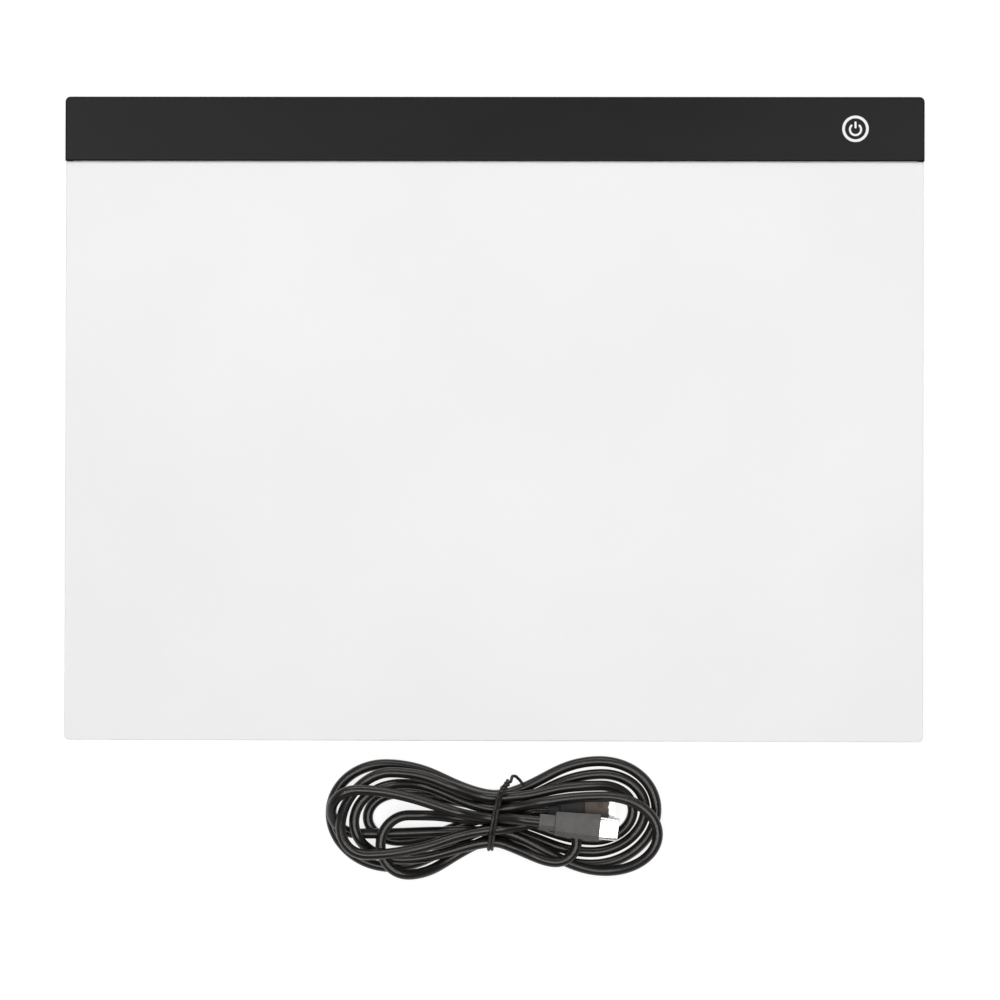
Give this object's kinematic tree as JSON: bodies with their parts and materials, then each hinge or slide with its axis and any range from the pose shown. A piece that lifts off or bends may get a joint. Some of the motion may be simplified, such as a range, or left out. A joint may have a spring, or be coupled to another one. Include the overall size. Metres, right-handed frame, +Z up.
{
  "type": "led tracing pad",
  "caption": "Slim flat light pad with an opal drawing panel, a black control strip with a touch key and a USB-C socket, and its USB lead put up in a hank beside it.",
  "frame": {"origin": "on the table, under the middle of the pad's outline", "axes": "+X along the long side, to the right of someone who draws with the strip away from them; +Y across the pad towards the black strip; +Z up"},
  "size_m": [0.315, 0.2866, 0.019],
  "materials": {
    "tray_plastic": "moulded ABS with a fine even grain",
    "strip_plastic": "black moulded ABS, satin",
    "opal_acrylic": "opal acrylic sheet with a soft satin face",
    "white_film": "white polyester film",
    "clear_acrylic": "clear cast acrylic, polished edges, printed dots",
    "circuit_board": "glass-fibre board with white solder mask",
    "led_package": "white package with a yellow phosphor window",
    "plated_steel": "nickel-plated drawn steel",
    "connector_resin": "black glass-filled resin",
    "connector_resin_white": "white glass-filled resin",
    "copper_foil": "bare copper",
    "conductive_foam": "carbon-filled foam",
    "chip_resin": "black moulding resin",
    "ferrite": "sintered ferrite",
    "capacitor_ceramic": "tan ceramic with tinned ends",
    "wire_red": "red PVC insulation",
    "wire_black": "black PVC insulation",
    "foot_rubber": "soft pale silicone",
    "cord_pvc": "black PVC jacket, semi-gloss",
    "plug_grip": "dark grey moulded PVC with a fine grain",
    "tie_coat": "black plastic coat on a soft steel wire"
  },
  "bodies": {
    "root": {"rear_cover": "tray_plastic", "strip_cover": "strip_plastic", "front_panel": "opal_acrylic", "panel_tape": "white_film", "reflector_sheet": "white_film", "diffuser_sheet": "white_film", "edge_foil_left": "white_film", "edge_foil_right": "white_film", "edge_foil_front": "white_film", "light_guide": "clear_acrylic", "led_board": "circuit_board", "control_board": "circuit_board", "usb_socket_shell": "plated_steel", "usb_c_shell": "plated_steel", "usb_a_shell": "plated_steel", "usb_socket_tongue": "connector_resin", "usb_c_insert": "connector_resin", "usb_a_insert": "connector_resin_white", "touch_electrode": "copper_foil", "touch_foam": "conductive_foam", "touch_chip": "chip_resin", "driver_chip": "chip_resin", "inductor": "ferrite", "capacitor_input": "capacitor_ceramic", "capacitor_output": "capacitor_ceramic", "capacitor_touch": "capacitor_ceramic", "lead_positive": "wire_red", "lead_negative": "wire_black", "cable_hank": "cord_pvc", "usb_c_grip": "plug_grip", "usb_a_grip": "plug_grip", "twist_tie": "tie_coat", "foot_front_left": "foot_rubber", "foot_front_right": "foot_rubber", "foot_rear_left": "foot_rubber", "foot_rear_right": "foot_rubber", "led_01": "led_package", "led_02": "led_package", "led_03": "led_package", "led_04": "led_package", "led_05": "led_package", "led_06": "led_package", "led_07": "led_package", "led_08": "led_package", "led_09": "led_package", "led_10": "led_package", "led_11": "led_package", "led_12": "led_package", "led_13": "led_package", "led_14": "led_package", "led_15": "led_package", "led_16": "led_package", "led_17": "led_package", "led_18": "led_package", "led_19": "led_package", "led_20": "led_package", "led_21": "led_package", "led_22": "led_package", "led_23": "led_package", "led_24": "led_package"}
  },
  "joints": []
}
